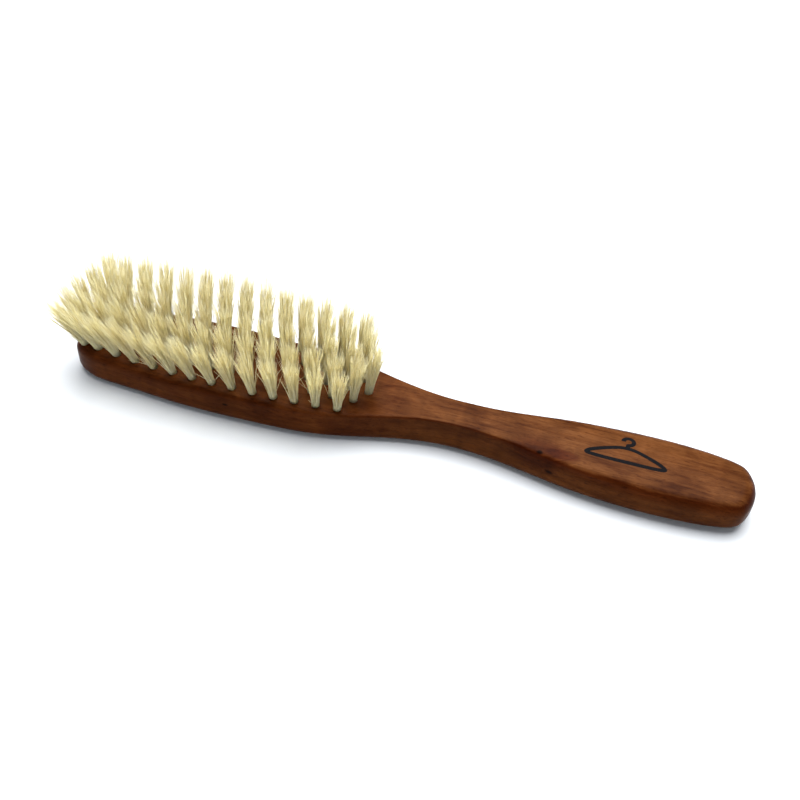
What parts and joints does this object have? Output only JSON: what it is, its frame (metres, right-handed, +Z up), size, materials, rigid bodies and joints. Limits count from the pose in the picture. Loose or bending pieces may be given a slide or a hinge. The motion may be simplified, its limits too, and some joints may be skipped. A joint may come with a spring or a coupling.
{
  "type": "clothes brush",
  "caption": "Wooden clothes brush with a waisted handle and staggered, fanned tufts of pale bristle, lying on its flat back.",
  "frame": {"origin": "on the flat back, on the centre line, halfway along the wooden body", "axes": "+X along the brush towards the end of the handle, +Y across it, +Z up from the back towards the bristle tips"},
  "size_m": [0.2545, 0.045, 0.0351],
  "materials": {
    "wood": "stained, satin",
    "bristle": "natural bristle, slightly glossy",
    "anchor_wire": "plain drawn wire"
  },
  "bodies": {
    "root": {"brush_body": "wood", "wire_anchors": "anchor_wire", "tuft_rank_01": "bristle", "tuft_rank_02": "bristle", "tuft_rank_03": "bristle", "tuft_rank_04": "bristle", "tuft_rank_05": "bristle", "tuft_rank_06": "bristle", "tuft_rank_07": "bristle", "tuft_rank_08": "bristle", "tuft_rank_09": "bristle", "tuft_rank_10": "bristle", "tuft_rank_11": "bristle", "tuft_rank_12": "bristle", "tuft_rank_13": "bristle", "tuft_rank_14": "bristle", "tuft_rank_15": "bristle", "tuft_rank_16": "bristle", "tuft_rank_17": "bristle", "tuft_rank_18": "bristle", "tuft_rank_19": "bristle", "tuft_rank_20": "bristle", "tuft_rank_21": "bristle", "tuft_rank_22": "bristle", "tuft_rank_23": "bristle", "tuft_rank_24": "bristle", "tuft_rank_25": "bristle", "tuft_rank_26": "bristle", "tuft_rank_27": "bristle", "tuft_rank_28": "bristle", "tuft_rank_29": "bristle"}
  },
  "joints": []
}
